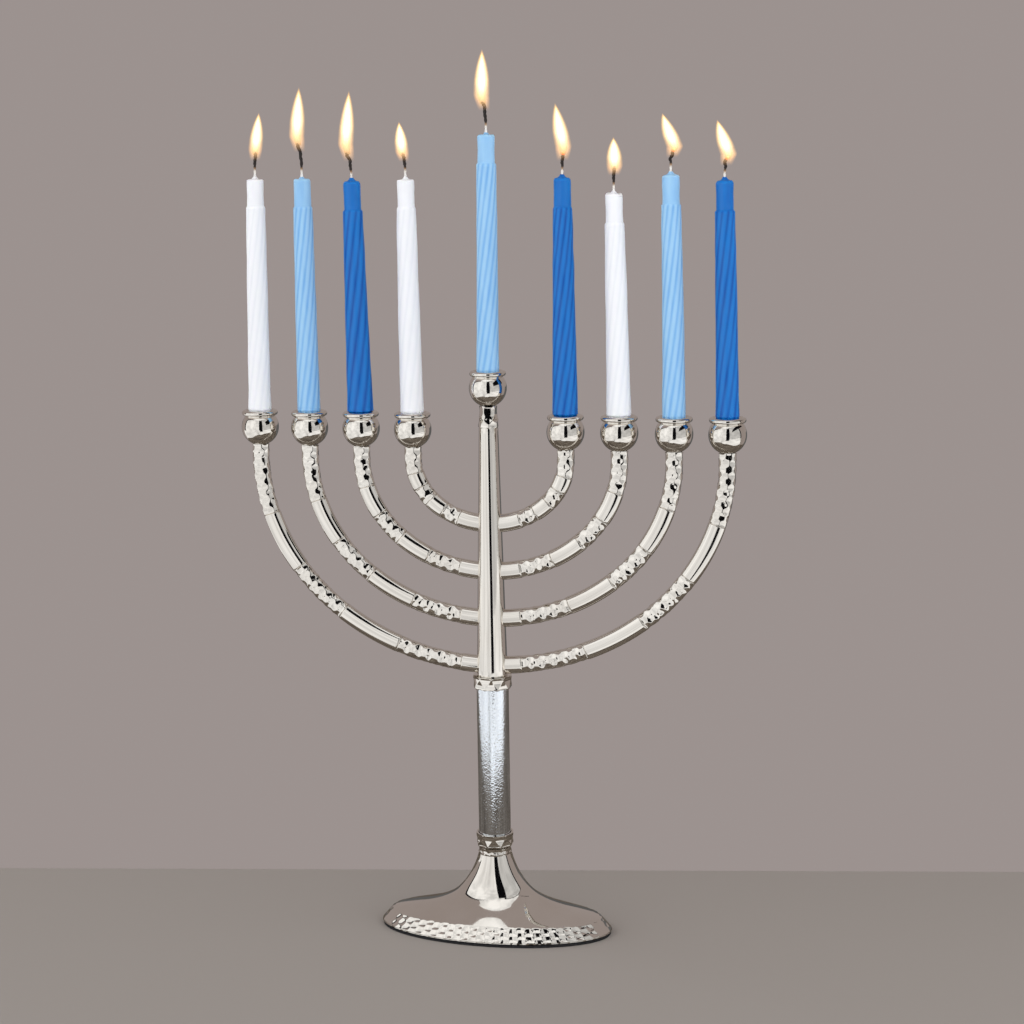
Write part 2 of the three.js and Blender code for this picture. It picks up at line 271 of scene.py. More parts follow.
def place_blows(rng, start, end, spacing, girth, count, jitter):
    """Staggered hammer blows between two distances along: rows of (distance along, distance
    around, reach factor, depth factor)."""
    lines = max(1, round((end - start) / spacing))
    step = (end - start) / lines
    blows = []
    for k in range(lines):
        for j in range(count):
            along = start + (k + 0.5) * step + rng.normal(0, jitter)
            around = girth * (j + 0.5 * (k % 2)) / count + rng.normal(0, jitter)
            blows.append((along, around, rng.uniform(0.85, 1.15), rng.uniform(0.75, 1.2)))
    return np.array(blows)


def hammered(along, around, girth, blows, reach, depth):
    """Heights, zero or below, of a hammered face: each point lies in the deepest bowl there."""
    du = along[..., None] - blows[:, 0]
    dv = (around[..., None] - blows[:, 1] + girth / 2) % girth - girth / 2
    share = (du**2 + dv**2) / (reach * blows[:, 2]) ** 2
    return np.minimum(depth * blows[:, 3] * (share - 1), 0).min(-1)


def groove(along, at, width, depth):
    """A narrow engraved line across a rod."""
    return -depth * np.exp(-(((along - at) / width) ** 2))


# ---------------------------------------------------------------- materials


def new_material(name):
    """A material with one Principled shader."""
    material = bpy.data.materials.new(name)
    material.use_nodes = True
    nodes = material.node_tree.nodes
    nodes.clear()
    output = nodes.new("ShaderNodeOutputMaterial")
    shader = nodes.new("ShaderNodeBsdfPrincipled")
    material.node_tree.links.new(shader.outputs["BSDF"], output.inputs["Surface"])
    return material, shader


def add_node(material, kind, inputs=(), **settings):
    """A node with its settings, and its inputs set to values or linked to sockets."""
    node = material.node_tree.nodes.new(kind)
    for key, value in settings.items():
        setattr(node, key, value)
    for key, value in dict(inputs).items():
        if isinstance(value, bpy.types.NodeSocket):
            material.node_tree.links.new(value, node.inputs[key])
        else:
            node.inputs[key].default_value = value
    return node


def link(material, source, target):
    """Joins one node's output to another's input."""
    material.node_tree.links.new(source, target)


def noise(material, scale, detail=3.0, stretch=(1, 1, 1), roughness=0.5):
    """Noise in metres of the object's own space, stretched along its axes."""
    place = add_node(material, "ShaderNodeTexCoord").outputs["Object"]
    mapping = add_node(material, "ShaderNodeMapping", {"Vector": place, "Scale": stretch})
    inputs = {
        "Vector": mapping.outputs["Vector"],
        "Scale": scale,
        "Detail": detail,
        "Roughness": roughness,
    }
    return add_node(material, "ShaderNodeTexNoise", inputs).outputs["Fac"]


def ramp(material, factor, stops):
    """A colour ramp with stops of (place, colour or grey)."""
    node = add_node(material, "ShaderNodeValToRGB", {"Fac": factor})
    elements = node.color_ramp.elements
    while len(elements) < len(stops):
        elements.new(0.5)
    for element, (place, colour) in zip(elements, stops):
        element.position = place
        grey = isinstance(colour, (int, float))
        element.color = (colour, colour, colour, 1) if grey else (*colour, 1)
    return node.outputs["Color"]


def bump(material, shader, height, strength, distance):
    """Lets a height, with a distance in metres, ripple the shader's surface."""
    inputs = {"Height": height, "Strength": strength, "Distance": distance}
    node = add_node(material, "ShaderNodeBump", inputs)
    link(material, node.outputs["Normal"], shader.inputs["Normal"])


def nickel_material():
    """Polished warm nickel plate with a faint cloudiness and hairline polishing marks."""
    material, shader = new_material("nickel")
    cloud = noise(material, 55, 4)
    colour = ramp(material, cloud, [(0.3, (0.80, 0.755, 0.69)), (0.7, (0.86, 0.825, 0.765))])
    shader.inputs["Metallic"].default_value = 1
    link(material, colour, shader.inputs["Base Color"])
    marks = noise(material, 900, 3, (1, 1, 0.15))
    rough = ramp(material, marks, [(0.35, 0.035), (0.75, 0.10)])
    link(material, rough, shader.inputs["Roughness"])
    bump(material, shader, noise(material, 260, 2), 0.10, 0.00006)
    return material


def tube_material():
    """Cold chromed steel tube with the fine grain of drawn and plated stock."""
    material, shader = new_material("tube_steel")
    grain = noise(material, 1800, 1, (1, 1, 0.8))
    colour = ramp(material, grain, [(0.3, (0.82, 0.87, 0.93)), (0.7, (0.91, 0.95, 0.99))])
    shader.inputs["Metallic"].default_value = 1
    link(material, colour, shader.inputs["Base Color"])
    rough = ramp(material, noise(material, 300, 2), [(0.3, 0.06), (0.7, 0.11)])
    link(material, rough, shader.inputs["Roughness"])
    bump(material, shader, grain, 0.75, 0.00007)
    return material


def plated_material():
    """Dull zinc plate of the hidden rod, nut, washer and screws."""
    material, shader = new_material("plated_steel")
    spots = noise(material, 400, 4)
    colour = ramp(material, spots, [(0.35, (0.42, 0.42, 0.40)), (0.7, (0.58, 0.58, 0.56))])
    shader.inputs["Metallic"].default_value = 1
    link(material, colour, shader.inputs["Base Color"])
    link(material, ramp(material, spots, [(0.3, 0.30), (0.7, 0.5)]), shader.inputs["Roughness"])
    bump(material, shader, noise(material, 1500, 2), 0.2, 0.00004)
    return material


def black_pad_material():
    """A near-black, dull pad under the base, faintly mottled and pitted."""
    material, shader = new_material("pad_foam")
    mottle = noise(material, 1400, 3)
    colour = ramp(material, mottle, [(0.3, (0.008, 0.008, 0.009)), (0.75, (0.03, 0.03, 0.032))])
    link(material, colour, shader.inputs["Base Color"])
    shader.inputs["Roughness"].default_value = 0.9
    shader.inputs["Specular IOR Level"].default_value = 0.2
    bump(material, shader, mottle, 0.5, 0.0002)
    return material


# Each wax runs from its colour in the grooves of the flutes to the paler colour of the painted
# highlight on their crests.
WAX_COLOURS = {
    "white": ((0.80, 0.83, 0.88), (0.88, 0.90, 0.94)),
    "light_blue": ((0.14, 0.39, 0.76), (0.34, 0.60, 0.86)),
    "dark_blue": ((0.0, 0.062, 0.34), (0.006, 0.175, 0.56)),
}


def wax_material(wax):
    """Satin wax with faint streaks along its flutes. A painted highlight makes it paler on the crests
    of the flutes and at the rim of its top.
    """
    material, shader = new_material("wax_" + wax)
    low, high = WAX_COLOURS[wax]
    # Painted highlight: the crests of the flutes and the rim of the top are made paler.
    ridge_highlight = add_node(material, "ShaderNodeAttribute", attribute_name="ridge_highlight").outputs["Fac"]
    streaks = noise(material, 420, 3, (1, 1, 0.12))
    mixed = add_node(material, "ShaderNodeMath", {0: ridge_highlight, 1: streaks}, operation="ADD")
    half = add_node(material, "ShaderNodeMath", {0: mixed.outputs[0], 1: 0.5}, operation="MULTIPLY")
    colour = ramp(material, half.outputs[0], [(0.2, low), (0.72, high)])
    link(material, colour, shader.inputs["Base Color"])
    shader.inputs["Subsurface Weight"].default_value = 0.25
    shader.inputs["Subsurface Radius"].default_value = (1.0, 0.9, 1.1)
    shader.inputs["Subsurface Scale"].default_value = 0.0015
    cloud = noise(material, 200, 3)
    link(material, ramp(material, cloud, [(0.3, 0.30), (0.7, 0.42)]), shader.inputs["Roughness"])
    shader.inputs["Specular IOR Level"].default_value = 0.26
    bump(material, shader, noise(material, 700, 3, (1, 1, 0.25)), 0.25, 0.00012)
    return material


def wick_material():
    """Cotton: soaked in white wax at its foot, scorched, then black char, some glowing."""
    material, shader = new_material("wick")
    burn = add_node(material, "ShaderNodeAttribute", attribute_name="burn").outputs["Fac"]
    stops = [
        (0.0, (0.80, 0.80, 0.82)),
        (0.30, (0.72, 0.68, 0.62)),
        (0.38, (0.33, 0.20, 0.11)),
        (0.46, (0.018, 0.012, 0.010)),
        (1.0, (0.012, 0.010, 0.010)),
    ]
    link(material, ramp(material, burn, stops), shader.inputs["Base Color"])
    shader.inputs["Roughness"].default_value = 0.8
    ember = add_node(material, "ShaderNodeAttribute", attribute_name="ember").outputs["Fac"]
    glow = ramp(material, ember, [(0.1, 0.0), (0.6, (1.0, 0.12, 0.015)), (1.0, (1.0, 0.42, 0.12))])
    link(material, glow, shader.inputs["Emission Color"])
    shader.inputs["Emission Strength"].default_value = 2.2
    bump(material, shader, noise(material, 2500, 2), 0.7, 0.00015)
    return material


def flame_material(name, stops, alpha, strength):
    """A thin veil of fire: its colour and density change from its foot to its tip."""
    material, shader = new_material(name)
    height = add_node(material, "ShaderNodeAttribute", attribute_name="height").outputs["Fac"]
    shader.inputs["Base Color"].default_value = (0, 0, 0, 1)
    shader.inputs["Roughness"].default_value = 1
    shader.inputs["Specular IOR Level"].default_value = 0
    link(material, ramp(material, height, stops), shader.inputs["Emission Color"])
    shader.inputs["Emission Strength"].default_value = strength
    link(material, ramp(material, height, alpha), shader.inputs["Alpha"])
    return material


nickel = nickel_material()
tube_steel = tube_material()
plated_steel = plated_material()
pad_foam = black_pad_material()
wick_cotton = wick_material()
waxes = {wax: wax_material(wax) for wax in WAX_COLOURS}


def settle(piece, body, node):
    """Finishes a piece: it rides on its body and stands for its CAD node, if it has one."""
    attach(piece, body)
    if node:
        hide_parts(node)
    return piece


# ---------------------------------------------------------------- base


def even_angles(half_width, half_depth, count):
    """Ellipse angles that step evenly along its edge, and the edge's length."""
    fine = np.linspace(0, TURN, 4001)
    x, y = half_width * np.cos(fine), half_depth * np.sin(fine)
    length = np.concatenate([[0], np.cumsum(np.hypot(np.diff(x), np.diff(y)))])
    steps = np.arange(count) * length[-1] / count
    return np.interp(steps, length, fine), length[-1]


def oval_rows(profile, angles):
    """Rows of points for ovals of (half width, half depth, height)."""
    rows = []
    for half_width, half_depth, z in profile:
        x = half_width * np.cos(angles)
        y = half_depth * np.sin(angles)
        rows.append(np.stack([x, y, np.full(len(angles), z)], -1))
    return np.array(rows)


def smooth_curve(points, steps):
    """A Catmull-Rom curve through the points."""
    points = [np.array(p, float) for p in points]
    ends = [2 * points[0] - points[1]] + points + [2 * points[-1] - points[-2]]
    curve = []
    for a, b, c, d in zip(ends, ends[1:], ends[2:], ends[3:]):
        for s in range(steps):
            t = s / steps
            curve.append(0.5 * (2 * b + (c - a) * t + (2 * a - 5 * b + 4 * c - d) * t**2
                                + (3 * b - a - 3 * c + d) * t**3))
    curve.append(points[-1])
    return [tuple(p) for p in curve]


def band_blows(girth):
    """The hammer blows of the base's band, in staggered columns round it."""
    rng = np.random.default_rng(7)
    blows = []
    for column in range(BAND_COLUMNS):
        for row in range(BAND_ROWS):
            along = 0.2 + BAND_ROW_STEP * row + (BAND_STAGGER if column % 2 else 0.0)
            blows.append((along + rng.normal(0, 0.08),
                          girth * column / BAND_COLUMNS + rng.normal(0, 0.12),
                          rng.uniform(0.95, 1.1), rng.uniform(0.85, 1.15)))
    return np.array(blows)


def way_down(z):
    """How far a height of the rim or its band lies down the face from the band's top."""
    slope = np.hypot(RIM[0] - BAND_TOP[0], BAND_TOP[2] - RIM_EDGE_Z)
    if z <= RIM_EDGE_Z:
        full = slope + RIM_EDGE_Z - BASE_BOTTOM_Z
        return full - (z - BASE_BOTTOM_Z)
    return slope * (BAND_TOP[2] - z) / (BAND_TOP[2] - RIM_EDGE_Z)


def build_base():
    """A shell, hollow underneath, with a hammered band inside its rim and a trumpet above."""
    around = BASE_POINTS_ROUND
    middle_of_band = (44.4, 20)
    angles, girth = even_angles(*middle_of_band, around)
    inside = [(ROD_HOLE, ROD_HOLE, WASHER_SEAT_Z), (7.4, 5.8, WASHER_SEAT_Z), (11.2, 8, 16),
              (17, 11, 10.6), (26, 14, 7.6), (41.4, 17.4, 4.6)]
    under = [(RIM[0] - inset, RIM[1] - inset, BASE_BOTTOM_Z) for inset in (2, 0.4)]
    edge = line((*RIM, BASE_BOTTOM_Z + 0.2), (*RIM, RIM_EDGE_Z), 3)
    band = line((*RIM, RIM_EDGE_Z), BAND_TOP, 18)
    trumpet = smooth_curve(TRUMPET, 12)
    rough_neck = [(6.55, 31.8), (6.4, 32.2), (6.2, 32.7), (6.2, 33.4)]
    neck = [(r, r, z) for r, z in rough_neck + [(NECK_RADIUS, NECK_TOP_Z), (ROD_HOLE, NECK_TOP_Z)]]
    profile = inside + under + edge + band + trumpet + neck
    rows = oval_rows(profile, angles)
    first = len(inside) + len(under)
    last = first + len(edge) + len(band)
    blows = band_blows(girth)
    relief = np.zeros(rows.shape[:2])
    place = np.arange(around) * girth / around
    for k in range(first, last + 1):
        z = profile[k][2]
        down = np.full(around, way_down(z))
        relief[k] = hammered(down, place, girth, blows, BAND_BLOW_REACH, BAND_BLOW_DEPTH)
        relief[k] *= min(1, (z - BASE_BOTTOM_Z) / 0.5)
    # The neck's foot is a little uneven, as cast.
    dents = 40
    rough = np.random.default_rng(3).normal(0, 0.10, (len(rough_neck), dents))
    turn_place = np.arange(around) / around * dents
    neck_first = len(profile) - len(neck)
    for k, heights in enumerate(rough):
        closed = np.append(heights, heights[0])
        relief[neck_first + k] = np.interp(turn_place, np.arange(dents + 1), closed)
    base = skin("base_shell", push(rows, relief), nickel, crease=70)
    settle(base, "stand", "base")
    build_pad(angles[::2])


def build_pad(angles):
    """The thin black pad, with soft edges."""
    profile = [(PAD_HALF[0] - inset, PAD_HALF[1] - inset, z)
               for inset, z in ((0.15, 0), (0, 0.2), (0, 0.85), (0.15, PAD_THICKNESS))]
    pad = skin("base_foot_pad", oval_rows(profile, angles), pad_foam, (True, True))
    settle(pad, "stand", "base_pad")


# ---------------------------------------------------------------- stem


def faceted_collar(name, node, profile, low, high, depth, seed):
    """A collar with two staggered rows of hollow facets between two heights."""
    around = 240
    rows = lathe(profile, around)
    radius = max(p[0] for p in profile)
    girth = TURN * radius
    rng = np.random.default_rng(seed)
    facets = []
    for row in range(2):
        for k in range(COLLAR_FACETS):
            facets.append((low + (high - low) * (0.28 + 0.46 * row) + rng.normal(0, 0.15),
                           girth * (k + 0.5 * row) / COLLAR_FACETS + rng.normal(0, 0.25),
                           rng.uniform(0.95, 1.1), rng.uniform(0.85, 1.15)))
    facets = np.array(facets)
    relief = np.zeros(rows.shape[:2])
    place = np.arange(around) * girth / around
    for k, (r, z) in enumerate(profile):
        if r > SOCKET_RADIUS + 0.1 and low <= z <= high:
            relief[k] = hammered(np.full(around, z), place, girth, facets, FACET_REACH, depth)
    settle(skin(name, push(rows, relief), nickel, crease=70), "stand", node)


def build_lower_collar():
    """The collar on the base's neck, with a socket above for the tube."""
    bottom, top, radius = LOWER_COLLAR
    outside = line((radius - 0.3, bottom + 0.2), (radius, bottom + 0.5), 3)
    outside += line((radius, bottom + 0.5), (radius, top - 0.15), 18)
    outside += [(radius, top - 0.15), (radius - 0.15, top)]
    profile = [(ROD_HOLE, bottom), (radius - 0.8, bottom)] + outside
    profile += [(SOCKET_RADIUS, top), (SOCKET_RADIUS, TUBE_BOTTOM_Z - GAP),
                (ROD_HOLE, TUBE_BOTTOM_Z - GAP)]
    faceted_collar("collar_lower", "lower_collar", profile, bottom + 0.15, top - 0.1, 0.62, 11)


def build_upper_collar():
    """The collar under the column, with a socket below for the tube."""
    bottom, top, radius = UPPER_COLLAR
    outside = line((radius - 0.3, bottom), (radius, bottom + 0.3), 3)
    outside += line((radius, bottom + 0.3), (radius, top - 0.15), 18)
    outside += [(radius, top - 0.15), (radius - 0.15, top), (COLUMN_BOTTOM_RADIUS, top)]
    profile = [(SOCKET_RADIUS, TUBE_TOP_Z + GAP), (SOCKET_RADIUS, bottom)] + outside
    profile += [(ROD_HOLE, top), (ROD_HOLE, TUBE_TOP_Z + GAP)]
    faceted_collar("collar_upper", "upper_collar", profile, bottom, top - 0.1, 0.45, 12)


def build_tube():
    """The plain tube between the collars."""
    inner = TUBE_RADIUS - TUBE_WALL
    tube = line((TUBE_RADIUS, TUBE_BOTTOM_Z), (TUBE_RADIUS, TUBE_TOP_Z), 32)
    tube += [(TUBE_RADIUS, TUBE_TOP_Z)]
    profile = [(inner, TUBE_BOTTOM_Z)] + tube + [(inner, TUBE_TOP_Z), (inner, TUBE_BOTTOM_Z)]
    settle(skin("tube_of_stem", lathe(profile, 128), tube_steel), "stand", "stem_tube")


def build_column():
    """A smooth taper, a hammered ring above a fine waist, and a hammered neck."""
    around = 144
    low, top = COLUMN_BOTTOM_Z - 0.2, SHAMASH_CUP_Z + CUP_BOTTOM - GAP
    waist_z, ring_z = COLUMN_TAPER_TOP_Z, COLUMN_RING_TOP_Z
    ring_radius = COLUMN_TOP_RADIUS + 0.35
    taper = line((COLUMN_BOTTOM_RADIUS, COLUMN_BOTTOM_Z + 0.4), (COLUMN_TOP_RADIUS, waist_z), 48)
    waist = [(COLUMN_TOP_RADIUS, waist_z), (COLUMN_TOP_RADIUS - 0.12, waist_z + 0.25),
             (ring_radius - 0.15, waist_z + 0.45)]
    ring = line((ring_radius, waist_z + 0.7), (ring_radius - 0.1, ring_z), 14)
    neck = line((COLUMN_NECK_RADIUS + 0.15, ring_z + 0.5), (COLUMN_NECK_RADIUS + 0.1, top), 14)
    profile = [(ROD_HOLE, low), (COLUMN_BOTTOM_RADIUS - 0.05, low)]
    profile += taper + waist + ring + neck + [(COLUMN_NECK_RADIUS, top), (SCREW_BORE, top)]
    rows = lathe(profile, around)
    girth = TURN * ring_radius
    rng = np.random.default_rng(21)
    ring_blows = place_blows(rng, waist_z + 0.4, ring_z + 0.4, 2.1, girth, 7, 0.25)
    neck_blows = place_blows(rng, ring_z + 0.6, top, 4.2, girth, 5, 0.3)
    relief = np.zeros(rows.shape[:2])
    place = np.arange(around) * girth / around
    for k, (_, z) in enumerate(profile[:-1]):
        here = np.full(around, z)
        if waist_z + 0.4 < z < ring_z + 0.2:
            relief[k] = hammered(here, place, girth, ring_blows, 2.0, 0.55)
        elif z >= ring_z + 0.4:
            relief[k] = hammered(here, place, girth, neck_blows, 2.7, 0.6)
    settle(skin("column_body", push(rows, relief), nickel, crease=70), "stand", "column")


# ---------------------------------------------------------------- arms


def arm_line(pair):
    """The arm's middle line: x, z and length at steps that are finer at its ring lines, and
    the length at each ring line."""
    reach = ARM_REACH[pair]
    drop = ARM_CENTRE_Z - arm_root(pair)
    top = CUP_Z + CUP_BOTTOM - GAP
    first = math.asin(FIRST_RING_X / reach)
    start = math.asin(ARM_START_X / reach)
    angles = np.linspace(start, math.pi / 2, 800)
    x = reach * np.sin(angles)
    z = ARM_CENTRE_Z - drop * np.cos(angles)
    length = np.concatenate([[0], np.cumsum(np.hypot(np.diff(x), np.diff(z)))])
    rings = np.interp(np.linspace(first, math.pi / 2, RING_LINES + 1)[:-1], angles, length)
    x = np.append(x, reach)
    z = np.append(z, top)
    length = np.append(length, length[-1] + top - ARM_CENTRE_Z)
    even = np.linspace(0, length[-1], int(length[-1] / ARM_STEP))
    near_rings = (rings[:, None] + np.array([-0.3, -0.18, -0.09, 0.0, 0.09, 0.18, 0.3])).ravel()
    even = even[np.abs(even[:, None] - rings).min(1) > 0.4]
    steps = np.sort(np.concatenate([even, near_rings]))
    return np.interp(steps, length, x), np.interp(steps, length, z), steps, rings


def arm_section(around):
    """An even ring of points round an arm, as distances outward across its bend and to its
    back, and the ring's length. It is oval inside the bend and squarer outside it."""
    fine = np.linspace(0, TURN, 4001)
    power = np.where(np.cos(fine) > 0, 0.78, 1)
    across = ARM_HALF_WIDTH * np.sign(np.cos(fine)) * np.abs(np.cos(fine)) ** power
    back = ARM_HALF_DEPTH * np.sign(np.sin(fine)) * np.abs(np.sin(fine)) ** power
    length = np.concatenate([[0], np.cumsum(np.hypot(np.diff(across), np.diff(back)))])
    steps = np.arange(around) * length[-1] / around
    return np.interp(steps, length, across), np.interp(steps, length, back), length[-1]


def build_arm(pair, side):
    """An arm with hammered and smooth stretches in turn between its ring lines. Side is 1 for
    the right and -1 for the left."""
    around = 96
    x, z, along, rings = arm_line(pair)
    tangent = np.stack([np.gradient(x, along), np.gradient(z, along)], -1)
    tangent /= np.linalg.norm(tangent, axis=1, keepdims=True)
    outward, backward, girth = arm_section(around)
    rng = np.random.default_rng(100 + 10 * pair + side)
    relief = np.zeros((len(along), around))
    place = np.arange(around) * girth / around
    bounds = list(rings) + [along[-1]]
    u, v = np.meshgrid(along, place, indexing="ij")
    for stretch in (0, 2, 4):
        low, high = bounds[stretch] + 0.25, bounds[stretch + 1] - 0.25
        blows = place_blows(rng, low, high, ARM_BLOW_SPACING, girth, ARM_BLOWS_ROUND, 0.3)
        rows = (along > low) & (along < high)
        relief[rows] = hammered(u[rows], v[rows], girth, blows, ARM_BLOW_REACH, ARM_BLOW_DEPTH)
    for at in rings:
        relief += groove(u, at, RING_WIDTH, RING_DEPTH)
    # Outward across the bend, then along +Y, so that the rows wind the same way as a lathe's.
    across = np.stack([tangent[:, 1], np.zeros(len(x)), -tangent[:, 0]], -1)
    middle = np.stack([x, np.zeros(len(x)), z], -1)
    back = np.array([0.0, 1.0, 0.0])
    rows = middle[:, None] + outward[None, :, None] * across[:, None] + backward[None, :, None] * back
    rows = push(rows, relief)
    name = "right" if side > 0 else "left"
    if side < 0:
        rows = rows * np.array([-1, -1, 1])
    piece = skin(f"arm_rod_{name}_{pair + 1}", rows, nickel, (False, True), crease=70)
    settle(piece, "stand", f"arm_{name}_{pair + 1}")


# ---------------------------------------------------------------- cups and candles


def build_cup(place):
    """A hollow ball with a seat below and a rolled lip above its bore."""
    start = math.degrees(math.acos(CUP_SEAT_RADIUS / BALL_RADIUS))
    profile = [(SCREW_BORE, CUP_BOTTOM), (CUP_SEAT_RADIUS - 0.2, CUP_BOTTOM)]
    profile += arc(0, 0, BALL_RADIUS, -start, 37, 26)
    profile += arc(LIP_CENTRE + 0.5, LIP_MIDDLE - 1.1, 0.75, 205, 165, 3)
    profile += arc(LIP_CENTRE, LIP_MIDDLE, LIP_ROLL, -60, 120, 12)
    profile += [(CUP_BORE + 0.12, LIP_MIDDLE + 0.45), (CUP_BORE, LIP_MIDDLE)]
    profile += [(CUP_BORE, CUP_FLOOR + 0.6), (CUP_BORE - 0.6, CUP_FLOOR), (SCREW_BORE, CUP_FLOOR)]
    profile += [(SCREW_BORE, CUP_BOTTOM)]
    rows = lathe(profile, 112) + cup_place(place)
    settle(skin("ball_cup_" + place, rows, nickel, crease=50), "stand", "cup_" + place)


def leaned(points, place):
    """Leans points about the middle of the cup, then moves them to their cup."""
    lean = math.radians(CANDLES[place].lean)
    points = np.asarray(points, float)
    x = points[..., 0] * math.cos(lean) + points[..., 2] * math.sin(lean)
    z = points[..., 2] * math.cos(lean) - points[..., 0] * math.sin(lean)
    return np.stack([x, points[..., 1], z], -1) + cup_place(place)


def candle_heights(shoulder, top):
    """Heights of a candle's rings: its foot in the cup, fluted body, shoulder and tip."""
    return np.concatenate([
        np.linspace(CANDLE_FOOT, LIP_TOP - 0.2, 6),
        np.linspace(LIP_TOP, shoulder, 130),
        np.linspace(shoulder + 0.2, shoulder + 1.0, 6),
        np.linspace(shoulder + 1.6, top - 0.7, 14),
    ])


def candle_side(candle, rng, angle, flutes, phase):
    """Rows of points up a candle's side, and how far each point stands on a flute's crest, which sets
    how pale the painted highlight makes it.
    """
    shoulder = candle.top - TIP_LENGTH
    bend = rng.normal(0, 0.10, 2)
    swell = rng.normal(0, 0.05, 12)
    rows, ridge_highlights = [], []
    for z in candle_heights(shoulder, candle.top):
        t = np.clip((z - LIP_TOP) / (shoulder - LIP_TOP), 0, 1)
        body = candle.radius + (SHOULDER_RADIUS - candle.radius) * t
        body += np.interp(t, np.linspace(0, 1, 12), swell)
        turn = flutes * (angle - FLUTE_TWIST * z) + phase
        wave = np.sqrt(np.cos(turn / 2) ** 2 + 0.02)
        wander = 0.22 * np.sin(3 * angle - 0.05 * z + phase) + 0.12 * np.sin(2 * angle + 0.11 * z)
        depth = FLUTE_DEPTH[candle.wax] * np.clip((z - LIP_TOP + 1) / 5, 0.15, 1) * (1 + 1.2 * wander)
        fluted = body - depth * (1 - wave) + 0.06 * wander
        step = np.clip((z - shoulder) / 0.8, 0, 1)
        tip = TIP_RADIUS + 0.04 * np.sin(2 * angle + 0.4 * z + phase) + 0.03 * math.sin(0.9 * z)
        outline = fluted * (1 - step) + tip * step
        if z < LIP_TOP:
            outline = np.full(len(angle), FOOT_RADIUS)
        away = math.sin(math.pi * t)
        x = outline * np.cos(angle) + bend[0] * away
        y = outline * np.sin(angle) + bend[1] * away
        rows.append(np.stack([x, y, np.full(len(angle), z)], -1))
        # Painted highlight: the crests of the flutes are made paler, and the tip a little paler.
        ridge_highlights.append(wave * (1 - step) + 0.75 * step)
    return rows, ridge_highlights


def melted_top(candle, angle, phase):
    """Rows of points from a candle's edge in to the wick, as its wax has melted, and how pale the
    painted highlight makes each point: paler near the rim than further in."""
    rows, ridge_highlights = [], []
    for share in (1.0, 0.97, 0.9, 0.8, 0.68, 0.55, 0.42, 0.3, 0.22):
        ring = TIP_RADIUS * share
        drop = 0.0
        if share > 0.8:
            drop = 0.55 * (1 - math.sqrt(max(0, 1 - ((share - 0.78) / 0.24) ** 2)))
        lift = MELTED_MIDDLE[candle.melt] * (1 - share**2)
        lift += MELTED_RIM[candle.melt] * math.exp(-(((share - 0.84) / 0.1) ** 2))
        lift += 1.2 * math.exp(-((share - 0.2) / 0.14))
        wobble = 0.05 * np.sin(3 * angle + phase)
        if candle.melt == "lumps":
            wobble = 0.35 * np.maximum(0, np.cos(angle - 2.6)) + 0.15 * np.sin(3 * angle)
        z = candle.top - 0.25 - drop + lift + wobble
        rows.append(np.stack([ring * np.cos(angle), ring * np.sin(angle), z], -1))
        # Painted highlight: the rim of the top is made paler than the wax further in.
        ridge_highlights.append(np.full(len(angle), 0.95 if share > 0.75 else 0.6))
    return rows, ridge_highlights


def build_candle(place, seed):
    """A fluted candle that leans a little in its cup."""
    candle = CANDLES[place]
    rng = np.random.default_rng(500 + seed)
    around = 144
    angle = np.arange(around) * TURN / around
    flutes = int(rng.integers(9, 12))
    phase = rng.uniform(0, TURN)
    side, side_highlights = candle_side(candle, rng, angle, flutes, phase)
    top, top_highlights = melted_top(candle, angle, phase)
    values = {"ridge_highlight": np.array(side_highlights + top_highlights)}
    points = leaned(side + top, place)
    wax = skin("wax_" + place, points, waxes[candle.wax], (True, True), values, crease=80)
    settle(wax, "candle_" + place, "candle_" + place)


def wick_point(place, t):
    """A point of the wick's line, from the wax at 0 to its end at 1."""
    candle = CANDLES[place]
    z = candle.top + candle.wick * (2 * 0.7 * t * (1 - t) + t * t)
    return np.array([candle.curl * t**3, 0.0, z])


def build_wick(place, seed):
    """A twisted wick: thin where it leaves the wax, swollen and kinked where it has charred."""
    rng = np.random.default_rng(700 + seed)
    top, wick = CANDLES[place].top, CANDLES[place].wick
    around = 16
    angle = np.arange(around) * TURN / around
    inside = [np.array([0.0, 0.0, z]) for z in (top - 3.0, top - 0.8)]
    path = np.array(inside + [wick_point(place, t) for t in np.linspace(0, 1, 40)])
    past = np.clip(path[:, 2] - top, 0, None)
    burn = np.clip(past / wick, 0, 1)
    kinks = [0, 0, *rng.normal(0, 0.16, 4), 0]
    path[:, 0] += np.interp(burn, [0, 0.35, 0.5, 0.62, 0.75, 0.88, 1], kinks)
    path[:, 1] += np.interp(burn, [0, 0.4, 0.7, 1], [0, 0, *rng.normal(0, 0.25, 2)])
    thick = np.interp(past, [0, 1.0, 3.2, 4.4, 5.6, wick - 0.8, wick],
                      [0.62, 0.46, 0.40, 0.42, 0.55, 0.62, 0.30])
    tangent = np.gradient(path, axis=0)
    tangent /= np.linalg.norm(tangent, axis=1, keepdims=True)
    side = np.cross(tangent, [0.0, 1.0, 0.0])
    side /= np.linalg.norm(side, axis=1, keepdims=True)
    back = np.cross(tangent, side)
    rows = []
    for k, middle in enumerate(path):
        twist = angle + 0.6 * k
        frayed = 0.08 * rng.normal(0, 1, around) * (burn[k] > 0.4)
        size = thick[k] * (1 + 0.12 * np.cos(2 * twist) + frayed)
        turned = np.cos(angle)[:, None] * side[k] + np.sin(angle)[:, None] * back[k]
        rows.append(middle + size[:, None] * turned)
    ember = EMBERS.get(place, 0.0) * np.clip((burn - 0.86) / 0.12, 0, 1)
    values = {
        "burn": np.repeat((past / 10)[:, None], around, 1),
        "ember": np.repeat(ember[:, None], around, 1),
    }
    piece = skin("cotton_" + place, leaned(rows, place), wick_cotton, (True, True), values, crease=80)
    settle(piece, "candle_" + place, "wick_" + place)


